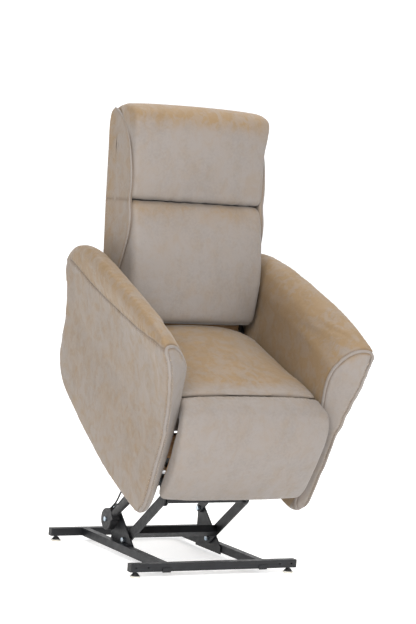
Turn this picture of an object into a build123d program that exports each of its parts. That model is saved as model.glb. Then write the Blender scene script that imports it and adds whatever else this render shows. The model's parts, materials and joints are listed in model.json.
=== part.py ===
from build123d import *
import os
from math import asin, atan2, cos, degrees, hypot, radians, sin, tan

# Lift recliner chair, in millimetres.  +X is the chair's left-to-right, -Y is the side a person sits
# down from, +Z is up.  The rest pose is the fully raised one: the lift base stands on the floor and
# the whole chair above it is tipped forward by `raise_tilt`.
#
# Two frames are used below.
#   base frame  : (y, z) measured from the middle of the lift base, on the floor.
#   chair frame : (y, z) of the chair when it stands level; y grows backwards from the arm fronts.
# `to_base` carries a chair-frame shape into its raised place.

# --- overall ----------------------------------------------------------------------------------
centre_shift = 118.0           # moves the base frame so that the origin is under the middle of the chair
raise_tilt = 26.0              # forward tip of the raised chair
chair_pivot = (0.0, 45.0)      # chair-frame point that is placed ...
chair_place = (-310.0, 217.0)  # ... here in the base frame when the chair is raised

# --- lift base --------------------------------------------------------------------------------
base_length = 620.0            # cross bars, along X
base_depth = 640.0             # outer face to outer face, along Y
bar_width = 25.0
bar_height = 27.0
bar_floor_gap = 19.0           # underside of the bars above the floor
tube_wall = 2.0
cap_thickness = 3.0
rail_x = 180.0                 # centre of each side rail
foot_inset = 24.0
hole_radius = 3.0

# --- lift linkage, base frame, raised ------------------------------------------------------------
link_pivot = (22.4, 55.8)      # A0, foot of the lift links
tube_pivot = (-215.0, 235.0)   # A1, the lift tube that carries the chair
rear_pivot = (99.4, 147.6)     # B0, foot of the rear links
rear_knee = (47.0, 190.0)
rear_top = (-182.4, 298.0)     # B1, top of the rear links
tube_height_lowered = 58.0     # height of the lift tube when the chair is down
rear_link_swing = 36.135       # degrees, raised to lowered
bolt_radius = 6.0
running_gap = 0.05
open_pivot_gap = 3.4           # play of the pivot at which the four-bar is opened
lift_tube_radius = 12.5

# --- planes across the chair, |x| ---------------------------------------------------------------
carriage_plate_x = (146.0, 151.0)
link_x = (154.0, 160.0)
bracket_x = (162.5, 167.5)

# --- chair frame --------------------------------------------------------------------------------
cross_tube_y = (100.0, 430.0)
cross_tube_z = 235.0
rail_inner_x = 232.0
rail_outer_x = 252.0
rail_bottom = 205.0
rail_top = 290.0
front_rail_y = (66.0, 86.0)
rear_rail_y = (668.0, 688.0)
arm_inner_low = 262.0          # inner face of an arm beside the seat ...
arm_inner_top = 276.0          # ... and where its top roll begins
arm_outer_low = 304.0          # outer face at the bottom, half-way up and at the top
arm_outer_mid = 320.0
arm_outer_top = 376.0

# --- seat, leg rest and back, chair frame -------------------------------------------------------
legrest_pivot = (-46.0, 408.0)
legrest_roll = 100.0           # radius of the leg rest's rolled rear edge about its pivot
legrest_range = 85.0
seat_half_width = 257.0
back_pivot = (590.0, 370.0)
back_lean = 29.0
back_range = 45.0
back_half_width = 260.0
pad_half_width = 250.0

# --- actuators ----------------------------------------------------------------------------------
pin_radius = 5.0
push_rod_radius = 8.0
drive_tube_radius = 13.0       # outer tubes of the recline and leg-rest actuators
legrest_crank = 160.0          # leg-rest pivot to its drive pin
legrest_crank_rest = 35.0      # crank angle behind the vertical at rest
back_crank = 108.0
back_crank_rest = back_range / 2
legrest_drive_x = -45.0
back_drive_x = 45.0
lift_drive_x = -192.0
motor_pivot = (95.0, 115.0)    # base frame
rod_pivot = (105.0, 130.0)     # chair frame
gear_case_radius = 37.0

os.makedirs("parts", exist_ok=True)


# --- helpers ------------------------------------------------------------------------------------
def turn(point, angle):
    """Rotate a (y, z) pair about the X axis by an angle in degrees."""
    c, s = cos(radians(angle)), sin(radians(angle))
    return (c * point[0] - s * point[1], s * point[0] + c * point[1])


def add(a, b):
    return (a[0] + b[0], a[1] + b[1])


def sub(a, b):
    return (a[0] - b[0], a[1] - b[1])


def polar(centre, radius, angle):
    """Point at a radius from a centre; the angle is from +Y towards +Z, in degrees."""
    return add(centre, turn((radius, 0.0), angle))


def chair_point(point, tilt=raise_tilt, place=chair_place):
    """Chair-frame (y, z) to base-frame (y, z) in the raised pose."""
    return add(turn(sub(point, chair_pivot), tilt), place)


to_base = Pos(0, *chair_place) * Rot(raise_tilt, 0, 0) * Pos(0, -chair_pivot[0], -chair_pivot[1])
to_back = Pos(0, *back_pivot) * Rot(-back_lean, 0, 0)     # local y is backwards, local z up the back


def side_face(*points):
    return Plane.YZ * make_face(Polyline(*points, close=True))


def curve_face(*edges):
    return Plane.YZ * make_face(Curve() + list(edges))


def hull(*circles):
    """Flat bar outline round ((y, z), radius) circles."""
    outline = Sketch() + [Pos(*centre) * Circle(radius) for centre, radius in circles]
    return Plane.YZ * make_hull(outline.edges())


def slab(face, low, high):
    """Extrude a side-view face between two x planes."""
    return Pos(low, 0, 0) * extrude(face, amount=high - low, dir=(1, 0, 0))


def pair(shape):
    """A right-hand piece and its mirror image, as (left, right)."""
    return mirror(shape, Plane.YZ), shape


def rod_x(point, radius, low, high):
    return Pos((low + high) / 2, *point) * Rot(0, 90, 0) * Cylinder(radius, high - low)


def rod_y(x, z, radius, low, high):
    return Pos(x, (low + high) / 2, z) * Rot(90, 0, 0) * Cylinder(radius, high - low)


def hex_x(point, across, low, high):
    prism = extrude(RegularPolygon(across / 2, 6, major_radius=False), high - low)
    return Pos(low, *point) * Rot(0, 90, 0) * prism


def block(x, y, z):
    """Box from three (low, high) pairs."""
    sizes = [high - low for low, high in (x, y, z)]
    middle = [(low + high) / 2 for low, high in (x, y, z)]
    return Pos(*middle) * Box(*sizes)


def box_tube_x(length, y, z, width, height, wall=tube_wall):
    tube = Box(length, width, height) - Box(length, width - 2 * wall, height - 2 * wall)
    return Pos(0, y, z) * tube


def group(shapes):
    """Several separate solids in one node."""
    return Compound(children=[solid for shape in shapes for solid in shape.solids()])


nodes = {}


def keep(name, shape):
    nodes[name] = shape


# --- lift base ------------------------------------------------------------------------------------
bar_y = base_depth / 2 - bar_width / 2
bar_z = bar_floor_gap + bar_height / 2
bar_top = bar_floor_gap + bar_height
inner_end = base_length / 2 - cap_thickness


def cross_bar(side):
    bar = box_tube_x(2 * inner_end, side * bar_y, bar_z, bar_width, bar_height)
    for x in (base_length / 2 - 20, base_length / 2 - 65):
        for sign in (-1, 1):
            hole = rod_y(sign * x, bar_z, hole_radius, side * base_depth / 2 - 4, side * base_depth / 2 + 4)
            bar -= hole
    return bar


def side_rail(sign):
    length = base_depth - 2 * bar_width - 2 * running_gap
    rail = Box(bar_width, length, bar_height) - Box(bar_width - 2 * tube_wall, length, bar_height - 2 * tube_wall)
    return Pos(sign * rail_x, 0, bar_z) * rail


def end_cap(side, sign):
    flange = fillet(Box(cap_thickness, bar_width, bar_height).edges().filter_by(Axis.X), 2)
    plug = Box(12, bar_width - 2 * tube_wall - 0.4, bar_height - 2 * tube_wall - 0.4)
    cap = flange + Pos(-(12 + cap_thickness) / 2, 0, 0) * plug
    place = Pos(sign * (base_length / 2 - cap_thickness / 2), side * bar_y, bar_z)
    return place * (cap if sign > 0 else mirror(cap, Plane.YZ))


foot_places = [(sign * (base_length / 2 - foot_inset), side * bar_y) for sign in (-1, 1) for side in (-1, 1)]
glide_height = 6.0
cup_height = 9.0

keep("front_bar", cross_bar(-1))
keep("rear_bar", cross_bar(1))
keep("base_side_rails", group([side_rail(-1), side_rail(1)]))
keep("bar_end_caps", group([end_cap(side, sign) for side in (-1, 1) for sign in (-1, 1)]))
keep("foot_glides", group([Pos(x, y, glide_height / 2) * fillet(Cylinder(17, glide_height).edges(), 1.2)
                           for x, y in foot_places]))
stem_low = glide_height + cup_height
foot_cup = Pos(0, 0, glide_height + cup_height / 2) * Cone(15, 8, cup_height)
foot_cup += Pos(0, 0, (stem_low + bar_floor_gap) / 2) * Cylinder(5, bar_floor_gap - stem_low)
keep("foot_cups", group([Pos(x, y, 0) * foot_cup for x, y in foot_places]))
keep("rail_clips", group([block((sign * rail_x - 15, sign * rail_x + 15),
                                (-base_depth / 2 - 3, -base_depth / 2), (bar_floor_gap - 3, bar_floor_gap + 12))
                          for sign in (-1, 1)]))


def riser_bracket():
    outline = hull((link_pivot, 20), (rear_pivot, 19), ((108, 36), 12), ((-46, 32), 10))
    foot = side_face((-56, bar_floor_gap - 5), (120, bar_floor_gap - 5), (120, 40), (-56, 40))
    plate = slab(outline, *bracket_x) + slab(foot, *bracket_x)
    for pivot in (link_pivot, rear_pivot):
        plate -= rod_x(pivot, bolt_radius + running_gap, 160, 170)
    return plate


keep("riser_brackets", group(pair(riser_bracket())))


def pivot_bolt(point):
    shank = rod_x(point, bolt_radius, 147, 168)
    head = hex_x(point, 16, 168, 175.5)
    nut = hex_x(point, 16, 146.2, 153.4)
    washer = rod_x(point, 13, 160.4, 162.3)
    return shank + head + nut + washer


keep("link_pivot_bolts", group([*pair(pivot_bolt(link_pivot)), *pair(pivot_bolt(rear_pivot))]))
keep("motor_pin", rod_x(motor_pivot, 8, -210, -167.5))

# --- lift links and the tube that carries the chair ----------------------------------------------
link_length = hypot(*sub(tube_pivot, link_pivot))
link_angle = degrees(atan2(tube_pivot[1] - link_pivot[1], link_pivot[0] - tube_pivot[0]))
lowered_angle = degrees(asin((tube_height_lowered - link_pivot[1]) / link_length))
link_swing = link_angle - lowered_angle


def lift_link():
    bar = slab(hull((link_pivot, 18), (tube_pivot, 18)), *link_x)
    return bar - rod_x(link_pivot, bolt_radius + running_gap, 150, 165)


def torque_tube():
    centre = add(link_pivot, turn((-58.0, 0.0), -link_angle))
    length = 2 * link_x[0]
    tube = Box(length, 34, 26) - Box(length, 34 - 2 * tube_wall, 26 - 2 * tube_wall)
    return Pos(0, *centre) * Rot(-link_angle, 0, 0) * tube


keep("lift_links", group(pair(lift_link())))
keep("torque_tube", torque_tube())
keep("lift_tube", rod_x(tube_pivot, lift_tube_radius, -link_x[0], link_x[0])
     - rod_x(tube_pivot, lift_tube_radius - 2.5, -link_x[0], link_x[0]))


def rear_link():
    lower = hull((rear_pivot, 16), (rear_knee, 15))
    upper = hull((rear_knee, 15), (rear_top, 18))
    bar = slab(lower, *link_x) + slab(upper, *link_x)
    bar -= rod_x(rear_pivot, bolt_radius + running_gap, 150, 165)
    return bar - rod_x(rear_top, pin_radius + open_pivot_gap, 150, 165)


keep("rear_links", group(pair(rear_link())))

# --- carriage: steel under-frame -----------------------------------------------------------------
tube_in_chair = add(turn(sub(tube_pivot, chair_place), -raise_tilt), chair_pivot)
rear_top_in_chair = add(turn(sub(rear_top, chair_place), -raise_tilt), chair_pivot)
cross_bottom = cross_tube_z - bar_width / 2


def carriage_plate():
    lugs = hull((tube_in_chair, 21), (rear_top_in_chair, 17))
    web = side_face((76, 30), (88, 120), (90, cross_bottom), (446, cross_bottom), (446, 194), (215, 156), (166, 66))
    plate = slab(lugs, *carriage_plate_x) + slab(web, *carriage_plate_x)
    return plate - rod_x(tube_in_chair, lift_tube_radius + running_gap, 140, 155)


def rear_link_pin():
    pin = rod_x(rear_top_in_chair, pin_radius, carriage_plate_x[1], 163)
    return pin + rod_x(rear_top_in_chair, 11, 160.6, 163)


def cross_tube(y):
    return box_tube_x(2 * rail_inner_x, y, cross_tube_z, bar_width, bar_width)


def rod_bracket():
    """Clevis hung under the front cross tube, round the lift actuator's rod eye."""
    outline = hull((rod_pivot, 14), ((cross_tube_y[0], cross_bottom - 12), 12))
    cheeks = slab(outline, lift_drive_x + 12, lift_drive_x + 16) + slab(outline, lift_drive_x - 16, lift_drive_x - 12)
    return cheeks + rod_x(rod_pivot, bolt_radius, lift_drive_x - 19, lift_drive_x + 19)


keep("carriage_plates", to_base * group(pair(carriage_plate())))
keep("rear_link_pins", to_base * group(pair(rear_link_pin())))
keep("front_cross_tube", to_base * cross_tube(cross_tube_y[0]))
keep("rear_cross_tube", to_base * cross_tube(cross_tube_y[1]))
keep("rod_clevis", to_base * rod_bracket())

# --- carriage: wooden seat frame, springs, cushions ----------------------------------------------
frame_rail = block((rail_inner_x, rail_outer_x), (front_rail_y[0], rear_rail_y[1]), (rail_bottom, rail_top))
keep("seat_side_rails", to_base * group(pair(frame_rail)))

crank_high = legrest_pivot[1] - legrest_crank * cos(radians(legrest_range - legrest_crank_rest))
crank_low = legrest_pivot[1] - legrest_crank
legrest_rod_z = (crank_high + crank_low) / 2
back_rod_z = back_pivot[1] - back_crank * (1 + cos(radians(back_crank_rest))) / 2

front_rail = block((-rail_inner_x, rail_inner_x), front_rail_y, (rail_bottom, rail_top))
front_rail -= rod_y(legrest_drive_x, legrest_rod_z, push_rod_radius + 3, front_rail_y[0] - 1, front_rail_y[1] + 1)
keep("seat_rail_front", to_base * front_rail)
keep("seat_rail_rear", to_base * block((-rail_inner_x, rail_inner_x), rear_rail_y, (rail_bottom, rail_top)))

spring_wire = 1.8
spring_z = rail_top + spring_wire + 0.2


def sinuous_spring(x):
    """Zig-zag wire lying on the front and rear seat rails."""
    start, stop, turns, half = 74.0, 490.0, 13, 22.0
    pitch = (stop - start) / turns
    points = [(x, start, spring_z)]
    for i in range(turns):
        side = half if i % 2 else -half
        points += [(x + side, start + i * pitch + 4, spring_z), (x + side, start + (i + 1) * pitch - 4, spring_z)]
    points.append((x, stop, spring_z))
    path = FilletPolyline(*points, radius=8)
    return sweep(Plane(path @ 0, z_dir=path % 0) * Circle(spring_wire), path=path)


keep("seat_springs", to_base * group([sinuous_spring(x) for x in (-190, -114, -38, 38, 114, 190)]))
spring_rail = block((-rail_inner_x, rail_inner_x), (482, 500), (262, rail_top))
spring_rail -= block((back_drive_x - 18, back_drive_x + 18), (480, 502), (260, back_rod_z + 16.5))
keep("spring_rail", to_base * spring_rail)

seat_gap = 3.0
seat_front_top = polar(legrest_pivot, legrest_roll + seat_gap, 37.5)
seat_front_low = polar(legrest_pivot, legrest_roll + seat_gap, -6.0)
seat_front_mid = polar(legrest_pivot, legrest_roll + seat_gap, 16.0)
seat_bottom = spring_z + spring_wire + 1.0
seat_face = curve_face(
    ThreePointArc(seat_front_top, seat_front_mid, seat_front_low),
    Line(seat_front_low, (66, 380)),
    Line((66, 380), (66, seat_bottom)),
    Line((66, seat_bottom), (504, seat_bottom)),
    Line((504, seat_bottom), (504, 420)),
    Line((504, 420), (462, 455)),
    Spline((462, 455), (300, 466), (120, 472), seat_front_top))
keep("seat_cushion", to_base * slab(seat_face, -seat_half_width, seat_half_width))

# --- arms ---------------------------------------------------------------------------------------
arm_face = curve_face(
    Spline((-4.5, 655), (-44, 560), (-48, 400), (-52, 210), (-40, 105), (-8, 41)),
    Spline((-8, 41), (110, 29), (251, 22), (551, 44), (698, 74), (781, 150)),
    Spline((781, 150), (787, 300), (812, 435), (843, 505)),
    Spline((843, 505), (812, 556), (735, 602)),
    Spline((735, 602), (586, 638), (409, 660), (242, 676), (80, 676), (-4.5, 655)))


def arm():
    solid = slab(arm_face, arm_inner_low - 10, arm_outer_top + 10)
    reach = 300.0
    outer = Plane.XZ * make_face(Polyline(
        (arm_outer_low, -reach), (arm_outer_low, 30), (arm_outer_mid, 350), (arm_outer_top, 640),
        (arm_outer_top + 30, 900), (arm_outer_top + reach, 900), (arm_outer_top + reach, -reach), close=True))
    inner = Plane.XZ * make_face(Polyline(
        (arm_inner_low, -reach), (arm_inner_low, 560), (arm_inner_top, 600), (arm_inner_top + 60, 658),
        (arm_inner_low - reach, 900), (arm_inner_low - reach, -reach), close=True))
    depth = 1400.0
    solid -= Pos(0, 1000, 0) * extrude(outer, amount=depth, dir=(0, -1, 0))
    solid -= Pos(0, 1000, 0) * extrude(inner, amount=depth, dir=(0, -1, 0))
    # the front face turns inward: its inner edge stands 65 mm behind the outer one
    front = make_face(Polyline((arm_inner_low - 20, 38), (345, -62), (345, -200), (arm_inner_low - 20, -200),
                               close=True))
    return solid - Pos(0, 0, 380) * extrude(front, amount=400, dir=(0, 0, 1))


arm_left, arm_right = pair(arm())
keep("arm_left", to_base * arm_left)
keep("arm_right", to_base * arm_right)
arm_bolt_places = ((160, 250), (520, 250))
keep("arm_spacers", to_base * group([piece for point in arm_bolt_places
                                     for piece in pair(rod_x(point, 12, rail_outer_x, arm_inner_low))]))
keep("rear_skirt", to_base * slab(side_face((728, 66), (740, 66), (752, 322), (740, 322)), -258, 258))

# --- hinge plates for the back, hinge arms for the leg rest --------------------------------------
hinge_plate = slab(hull((back_pivot, 22), ((560, 230), 16), ((640, 230), 16)), rail_outer_x, rail_outer_x + 4)
hinge_plate -= rod_x(back_pivot, 7 + running_gap, 250, 260)
keep("back_hinge_plates", to_base * group(pair(hinge_plate)))

hinge_arm_x = (149.0, 155.0)
arm_foot = (front_rail_y[0] - 4, front_rail_y[0])


def legrest_hinge_arm():
    blade = slab(hull((legrest_pivot, 12), ((arm_foot[0] - 8, 248), 12)), *hinge_arm_x)
    blade = blade & block(hinge_arm_x, (-100, arm_foot[1]), (200, 440))
    foot = block((hinge_arm_x[0] - 15, hinge_arm_x[1] + 15), arm_foot, (215, 285))
    return blade + foot - rod_x(legrest_pivot, pin_radius + running_gap, 140, 165)


keep("legrest_hinge_arms", to_base * group(pair(legrest_hinge_arm())))

# --- leg rest -----------------------------------------------------------------------------------
board_y = (-20.0, -8.0)
slot_x = (hinge_arm_x[0] - 4, hinge_arm_x[1] + 4)
roll_top = polar(legrest_pivot, legrest_roll, 37.5)
roll_mid = polar(legrest_pivot, legrest_roll, 16.0)
roll_low = polar(legrest_pivot, legrest_roll, -6.0)
pad_face = curve_face(
    Spline((-61, 124), (-96, 239), (-90, 345), (-60, 442), (-9, 473), roll_top),
    ThreePointArc(roll_top, roll_mid, roll_low),
    Line(roll_low, (board_y[1], 397.5)),
    Line((board_y[1], 397.5), (board_y[0], 397.5)),
    Line((board_y[0], 397.5), (board_y[0], 122)),
    Line((board_y[0], 122), (-61, 124)))


def both_slots(solid, y, z):
    for sign in (-1, 1):
        low, high = sorted((sign * slot_x[0], sign * slot_x[1]))
        solid -= block((low, high), y, z)
    return solid


pad = slab(pad_face, -256, 256)
keep("legrest_pad", to_base * both_slots(pad, (-64, 80), (300, 480)))
board = block((-246, 246), board_y, (132, 397.5))
keep("legrest_board", to_base * both_slots(board, (-30, 0), (300, 400)))


def legrest_lug():
    """Lug on each side of the slot, from the board to the hinge pin."""
    outline = hull((legrest_pivot, 12), ((board_y[0] - 12, 380), 12))
    return slab(outline, slot_x[0], slot_x[0] + 3.5) + slab(outline, slot_x[1] - 3.5, slot_x[1])


def legrest_pin():
    return rod_x(legrest_pivot, pin_radius, slot_x[0], slot_x[1])


lug_left, lug_right = pair(legrest_lug() - rod_x(legrest_pivot, pin_radius, 140, 165))
keep("legrest_lugs", to_base * group([lug_left, lug_right]))
keep("legrest_pins", to_base * group(pair(legrest_pin())))

legrest_pin_rest = polar(legrest_pivot, legrest_crank, legrest_crank_rest - 90.0)


def drive_lever(x, pin, root, root_radius):
    """Two cheeks with a cross pin, round a yoke."""
    outline = hull((pin, 11), (root, root_radius))
    cheeks = slab(outline, x + 9, x + 13) + slab(outline, x - 13, x - 9)
    return cheeks + rod_x(pin, pin_radius, x - 13, x + 13)


keep("legrest_lever", to_base * drive_lever(legrest_drive_x, legrest_pin_rest, (board_y[1] + 20, 250), 20))

# --- back ---------------------------------------------------------------------------------------
def back_stile():
    return block((206, 246), (0, 45), (-18, 700))


keep("back_stiles", to_base * to_back * group(pair(back_stile())))
keep("back_cross_rails", to_base * to_back * group([block((-206, 206), (0, 45), (low, low + 45))
                                                    for low in (-10, 400, 655)]))
webs = [block((-206, 206), (-1.6, -0.1), (70 + 62 * i, 112 + 62 * i)) for i in range(9)]
keep("back_webbing", to_base * to_back * group(webs))
shell_face = side_face((47, -24), (60, -24), (64, 300), (58, 712), (47, 712))
keep("back_shell", to_base * to_back * slab(shell_face, -pad_half_width, pad_half_width))
side_panel = slab(side_face((-60, 70), (62, 70), (64, 300), (58, 712), (-60, 712)), pad_half_width, back_half_width)
keep("back_side_panels", to_base * to_back * group(pair(side_panel)))
cushion_half = pad_half_width - 0.5
lumbar_face = curve_face(
    Line((-2, 24), (-118, 30)),
    Spline((-118, 30), (-150, 90), (-163, 220), (-150, 340), (-122, 428)),
    Line((-122, 428), (-2, 428)),
    Line((-2, 428), (-2, 24)))
head_face = curve_face(
    Line((-2, 432), (-122, 432)),
    Spline((-122, 432), (-136, 560), (-140, 690), (-96, 778), (-20, 786), (52, 745), (60, 716)),
    Line((60, 716), (-2, 716)),
    Line((-2, 716), (-2, 432)))
keep("lumbar_cushion", to_base * to_back * slab(lumbar_face, -cushion_half, cushion_half))
keep("head_cushion", to_base * to_back * slab(head_face, -cushion_half, cushion_half))

lug_face = side_face((-14, -18), (40, -18), (40, 50), (1, 50), (1, 20), (-14, 20))
hinge_lug = slab(lug_face, 246, 250) - rod_x((0, 0), 7, 240, 260)
keep("back_hinge_lugs", to_base * to_back * group(pair(hinge_lug)))
keep("back_hinge_pins", to_base * to_back * group(pair(rod_x((0, 0), 7, 246, 258))))

back_pin_rest = polar(back_pivot, back_crank, back_crank_rest - 90.0)
back_pin_local = turn(sub(back_pin_rest, back_pivot), back_lean)
keep("back_lever", to_base * to_back * drive_lever(back_drive_x, back_pin_local, (10, -22), 12))


# --- recline and leg-rest actuators ---------------------------------------------------------------
def yoke_rod(x, z, pin_y, rod_end, half_slot, play):
    """Push rod with a slotted head that the drive pin rides in."""
    wall = 6.0
    half_y = pin_radius + play + wall
    head = fillet(Box(10, 2 * half_y, 2 * (half_slot + wall)).edges().filter_by(Axis.X), 6)
    slot = Box(12, 2 * (pin_radius + play), 2 * half_slot)
    rod = rod_y(0, 0, push_rod_radius, *sorted((rod_end[0] - pin_y, rod_end[1] - pin_y)))
    keep_out = Box(12, 2 * half_y - 1, 2 * (half_slot + wall))
    shape = (rod - keep_out) + (head - slot)
    return Pos(x, pin_y, z) * shape


def gear_unit(x, z, y, side):
    """Gear housing with a motor can across the chair."""
    housing = fillet(block((x - 27, x + 27), y, (z - 20, z + drive_tube_radius)).edges().filter_by(Axis.Y), 6)
    can_low, can_high = sorted((x + side * 27, x + side * 112))
    can = rod_x(((y[0] + y[1]) / 2, z - 4), 17, can_low, can_high)
    return housing, can


legrest_travel = legrest_crank * (sin(radians(legrest_crank_rest)) + sin(radians(legrest_range - legrest_crank_rest)))
back_travel = 2 * back_crank * sin(radians(back_crank_rest))
legrest_half_slot = (crank_high - crank_low) / 2 + pin_radius + 1.0
back_half_slot = back_crank * (1 - cos(radians(back_crank_rest))) / 2 + pin_radius + 1.0
saddle_z = cross_tube_z + bar_width / 2

legrest_housing, legrest_can = gear_unit(legrest_drive_x, legrest_rod_z, (352.0, 408.0), -1)
keep("legrest_gearbox", to_base * legrest_housing)
keep("legrest_motor", to_base * legrest_can)
legrest_tube = rod_y(legrest_drive_x, legrest_rod_z, drive_tube_radius, 92, 352) - rod_y(
    legrest_drive_x, legrest_rod_z, push_rod_radius + 0.1, 92, 340)
keep("legrest_tube", to_base * legrest_tube)
# the pin runs from 1.1 mm behind to 8.1 mm ahead of a yoke that moves evenly, so the slot is set forward
legrest_yoke_y = legrest_pin_rest[0] - 3.5
keep("legrest_rod", to_base * yoke_rod(legrest_drive_x, legrest_rod_z, legrest_yoke_y,
                                       (legrest_yoke_y + 10, 336), legrest_half_slot, 4.8))
back_housing, back_can = gear_unit(back_drive_x, back_rod_z, (318.0, 374.0), 1)
keep("back_gearbox", to_base * back_housing)
keep("back_motor", to_base * back_can)
back_tube = rod_y(back_drive_x, back_rod_z, drive_tube_radius, 374, 530) - rod_y(
    back_drive_x, back_rod_z, push_rod_radius + 0.1, 386, 530)
keep("back_tube", to_base * back_tube)
keep("back_rod", to_base * yoke_rod(back_drive_x, back_rod_z, back_pin_rest[0],
                                    (480, back_pin_rest[0] - 8), back_half_slot, 1.4))


def saddle(x, z, y):
    foot = block((x - 19, x + 19), (y - 12, y + 12), (saddle_z, z))
    return foot - rod_y(x, z, drive_tube_radius + running_gap, y - 13, y + 13)


keep("actuator_saddles", to_base * group([saddle(legrest_drive_x, legrest_rod_z, cross_tube_y[0] + 1),
                                          saddle(back_drive_x, back_rod_z, cross_tube_y[1])]))
keep("control_box", to_base * fillet(block((178, rail_inner_x), (210, 340), (208, 256)).edges()
                                     .filter_by(Axis.Y), 6))

# --- lift actuator --------------------------------------------------------------------------------
def chair_path(point, part):
    """Base-frame place of a chair-frame point when `part` (0 to 1) of the lowering is done."""
    from_tube = sub(chair_point(point), tube_pivot)
    tube_now = add(link_pivot, turn(sub(tube_pivot, link_pivot), link_swing * part))
    return add(tube_now, turn(from_tube, -raise_tilt * part))


def rod_line(part):
    """Direction (degrees) and length from the motor pivot to the rod pivot."""
    reach = sub(chair_path(rod_pivot, part), motor_pivot)
    return degrees(atan2(reach[1], reach[0])), hypot(*reach)


# straight-line fit of direction and length, exact at one sixth and five sixths of the travel
early, late = rod_line(1 / 6), rod_line(5 / 6)
angle_rate = (late[0] - early[0]) * 1.5
length_rate = (late[1] - early[1]) * 1.5
rod_angle = early[0] - angle_rate / 6
rod_length = early[1] - length_rate / 6
eye_gap = max(hypot(*sub(polar(motor_pivot, rod_length + length_rate * i / 24, rod_angle + angle_rate * i / 24),
                         chair_path(rod_pivot, i / 24))) for i in range(25)) + 0.4
to_actuator = Pos(0, *motor_pivot) * Rot(rod_angle - 180.0, 0, 0)   # local -y runs to the rod eye
case_x = (lift_drive_x - 14, lift_drive_x + 14)

case = rod_x((0, 0), gear_case_radius, *case_x) + block(case_x, (-48, 0), (-22, 22))
case = fillet(case.edges().filter_by(GeomType.CIRCLE), 3)
case -= rod_x((0, 0), 8 + running_gap, case_x[0] - 1, case_x[1] + 1)
lift_tube_end = -rod_length + 92.0
lift_outer = rod_y(lift_drive_x, 0, 13, lift_tube_end, -48) - rod_y(lift_drive_x, 0, 9.1, lift_tube_end, -60)
keep("lift_actuator_tube", to_actuator * lift_outer)
eye = rod_x((-rod_length, 0), bolt_radius + eye_gap + 6, lift_drive_x - 10, lift_drive_x + 10)
push = rod_y(lift_drive_x, 0, 9, -rod_length, lift_tube_end + 190) + eye
push -= rod_x((-rod_length, 0), bolt_radius + eye_gap, lift_drive_x - 12, lift_drive_x + 12)
keep("lift_push_rod", to_actuator * push)

# the lead from the lift motor: a loop over the actuator tube to a clip on it
lead_radius = 3.0
lead_points = [(-14, 26), (-42, 28.6), (-70, 30), (-94, 37), (-115, 46), (-136, 49), (-156, 42), (-172, 29), (-184, 16.2)]
lead_clip_y = (-196, -180)


def gap_radii(points):
    radii = []
    for before, here, after in zip(points, points[1:], points[2:]):
        run_in, run_out = sub(here, before), sub(after, here)
        bend = abs(atan2(run_in[0] * run_out[1] - run_in[1] * run_out[0],
                         run_in[0] * run_out[0] + run_in[1] * run_out[1]))
        radii.append(0.45 * min(hypot(*run_in), hypot(*run_out)) / tan(bend / 2))
    return radii


lead_path = FilletPolyline(*[(lift_drive_x, y, z) for y, z in lead_points], radius=gap_radii(lead_points))
lead = sweep(Plane(lead_path @ 0, z_dir=lead_path % 0) * Circle(lead_radius), path=lead_path)
clip = rod_y(lift_drive_x, 0, 15.5, *lead_clip_y)
clip += block((lift_drive_x - 7, lift_drive_x + 7), lead_clip_y, (0, 26))
clip -= rod_y(lift_drive_x, 0, 13 + running_gap, lead_clip_y[0] - 1, lead_clip_y[1] + 1)
keep("lift_gear_case", to_actuator * group([case, clip]))
keep("lift_motor_lead", to_actuator * (lead - case - clip))

print("lead radii", [round(r, 1) for r in gap_radii(lead_points)])
print("link swing", round(link_swing, 4), "carriage turn", -raise_tilt - link_swing)
print("rear link", rear_link_swing, "actuator", round(angle_rate, 4), round(length_rate, 3), "eye gap", eye_gap)
print("legrest travel", legrest_travel, "back travel", back_travel)

low = [1e9] * 3
high = [-1e9] * 3
for name, shape in nodes.items():
    placed = Pos(0, centre_shift, 0) * shape
    box = placed.bounding_box()
    low = [min(a, b) for a, b in zip(low, box.min)]
    high = [max(a, b) for a, b in zip(high, box.max)]
    export_step(placed, f"parts/{name}.step")
print("nodes", len(nodes), "box", [round(v, 1) for v in low], [round(v, 1) for v in high])
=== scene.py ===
import json
import math
import bpy
import numpy as np
from mathutils import Matrix, Vector, noise
from mathutils.kdtree import KDTree


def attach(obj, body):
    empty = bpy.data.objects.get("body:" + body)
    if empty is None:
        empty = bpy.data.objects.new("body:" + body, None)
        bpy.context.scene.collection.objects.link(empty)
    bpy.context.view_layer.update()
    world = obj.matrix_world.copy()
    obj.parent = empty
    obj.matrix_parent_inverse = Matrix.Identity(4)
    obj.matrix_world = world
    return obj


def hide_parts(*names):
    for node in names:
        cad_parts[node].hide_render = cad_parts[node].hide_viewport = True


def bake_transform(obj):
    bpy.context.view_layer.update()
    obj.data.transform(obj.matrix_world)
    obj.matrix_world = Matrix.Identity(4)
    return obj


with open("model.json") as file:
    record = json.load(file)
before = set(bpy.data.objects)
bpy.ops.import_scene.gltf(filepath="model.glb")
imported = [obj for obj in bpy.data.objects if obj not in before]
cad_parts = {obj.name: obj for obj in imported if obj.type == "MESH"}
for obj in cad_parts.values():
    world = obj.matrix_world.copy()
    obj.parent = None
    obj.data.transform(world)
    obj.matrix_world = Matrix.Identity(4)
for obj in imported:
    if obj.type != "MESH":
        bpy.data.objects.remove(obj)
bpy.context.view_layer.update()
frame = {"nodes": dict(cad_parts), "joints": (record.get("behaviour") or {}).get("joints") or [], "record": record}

nodes = frame["nodes"]
joints = {j["name"]: j for j in frame["joints"]}

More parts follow.
